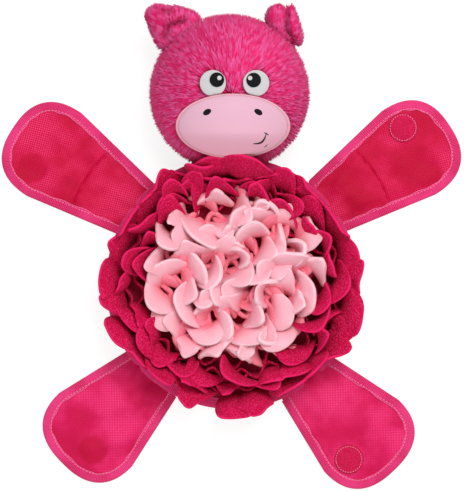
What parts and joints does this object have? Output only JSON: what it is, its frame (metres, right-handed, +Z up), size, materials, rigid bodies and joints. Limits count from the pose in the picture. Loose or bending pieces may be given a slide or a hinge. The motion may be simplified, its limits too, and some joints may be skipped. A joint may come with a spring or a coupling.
{
  "type": "plush snuffle toy",
  "caption": "Pink plush snuffle toy with a stuffed pig head, a round mat of fleece ruffles for hiding treats and flat nylon limbs that fold up over them.",
  "frame": {"origin": "centre of the mat's flat underside, on the surface that the toy lies on", "axes": "+Z up out of the ruffles and the face, +Y from the mat to the head, +X to the viewer's right looking down on the face"},
  "size_m": [0.4595, 0.4867, 0.1159],
  "materials": {
    "mat_nylon": "matte",
    "limb_nylon": "matte",
    "tape": "matte",
    "light_fleece": "matte",
    "deep_fleece": "matte",
    "pink_pile": "matte",
    "velboa": "matte",
    "white_felt": "matte",
    "black_felt": "matte",
    "black_thread": "satin",
    "hook_and_loop": "matte",
    "padding": "matte",
    "fibre_fill": "matte",
    "squeaker_plastic": "satin"
  },
  "bodies": {
    "mat": {"mat_backing": "mat_nylon", "mat_padding": "padding", "mat_top": "mat_nylon", "mat_binding": "tape", "arm_tab_left": "limb_nylon", "arm_tab_right": "limb_nylon", "leg_tab_left": "limb_nylon", "leg_tab_right": "limb_nylon", "neck_tab": "limb_nylon", "ruffle_centre": "light_fleece", "ruffle_inner": "light_fleece", "ruffle_middle": "light_fleece", "ruffle_light_edge": "light_fleece", "ruffle_outer": "deep_fleece", "ruffle_rim": "deep_fleece"},
    "head": {"head_plush": "pink_pile", "head_stuffing_back": "fibre_fill", "head_stuffing_front": "fibre_fill", "squeaker": "squeaker_plastic", "neck": "pink_pile", "ear_left": "pink_pile", "ear_right": "pink_pile", "muzzle": "velboa", "nostril_left": "black_thread", "nostril_right": "black_thread", "smile": "black_thread", "eye_white_left": "white_felt", "eye_white_right": "white_felt", "pupil_left": "black_felt", "pupil_right": "black_felt", "glint_left": "white_felt", "glint_right": "white_felt"},
    "arm_upper_left": {"arm_upper_back_left": "limb_nylon", "arm_upper_front_left": "limb_nylon", "arm_upper_tape_a_left": "tape", "arm_upper_tape_b_left": "tape"},
    "arm_outer_left": {"arm_outer_back_left": "limb_nylon", "arm_outer_front_left": "limb_nylon", "arm_outer_tape_left": "tape", "arm_fastener_left": "hook_and_loop"},
    "leg_left": {"leg_back_left": "limb_nylon", "leg_front_left": "limb_nylon", "leg_tape_left": "tape", "leg_fastener_left": "hook_and_loop"},
    "arm_upper_right": {"arm_upper_back_right": "limb_nylon", "arm_upper_front_right": "limb_nylon", "arm_upper_tape_a_right": "tape", "arm_upper_tape_b_right": "tape"},
    "arm_outer_right": {"arm_outer_back_right": "limb_nylon", "arm_outer_front_right": "limb_nylon", "arm_outer_tape_right": "tape", "arm_fastener_right": "hook_and_loop"},
    "leg_right": {"leg_back_right": "limb_nylon", "leg_front_right": "limb_nylon", "leg_tape_right": "tape", "leg_fastener_right": "hook_and_loop"}
  },
  "joints": [
    {"name": "shoulder_left", "type": "hinge", "parent": "mat", "child": "arm_upper_left", "pos_m": [-0.10427, 0.07981, 0.00425], "axis": [0.5519, 0.8339, 0], "range_deg": [0, 90]},
    {"name": "elbow_left", "type": "hinge", "parent": "arm_upper_left", "child": "arm_outer_left", "pos_m": [-0.1443, 0.1063, 0.00425], "axis": [0.5519, 0.8339, 0], "range_deg": [0, 90]},
    {"name": "hip_left", "type": "hinge", "parent": "mat", "child": "leg_left", "pos_m": [-0.08713, -0.09824, 0.00425], "axis": [-0.7009, 0.7133, 0], "range_deg": [0, 90]},
    {"name": "shoulder_right", "type": "hinge", "parent": "mat", "child": "arm_upper_right", "pos_m": [0.10279, 0.08225, 0.00425], "axis": [0.5446, -0.8387, 0], "range_deg": [0, 90]},
    {"name": "elbow_right", "type": "hinge", "parent": "arm_upper_right", "child": "arm_outer_right", "pos_m": [0.14304, 0.10839, 0.00425], "axis": [0.5446, -0.8387, 0], "range_deg": [0, 90]},
    {"name": "hip_right", "type": "hinge", "parent": "mat", "child": "leg_right", "pos_m": [0.08165, -0.10326, 0.00425], "axis": [-0.7193, -0.6947, 0], "range_deg": [0, 90]},
    {"name": "neck_nod", "type": "hinge", "parent": "mat", "child": "head", "pos_m": [-0.0025, 0.131, 0.00425], "axis": [1, 0, 0], "range_deg": [0, 15]}
  ]
}
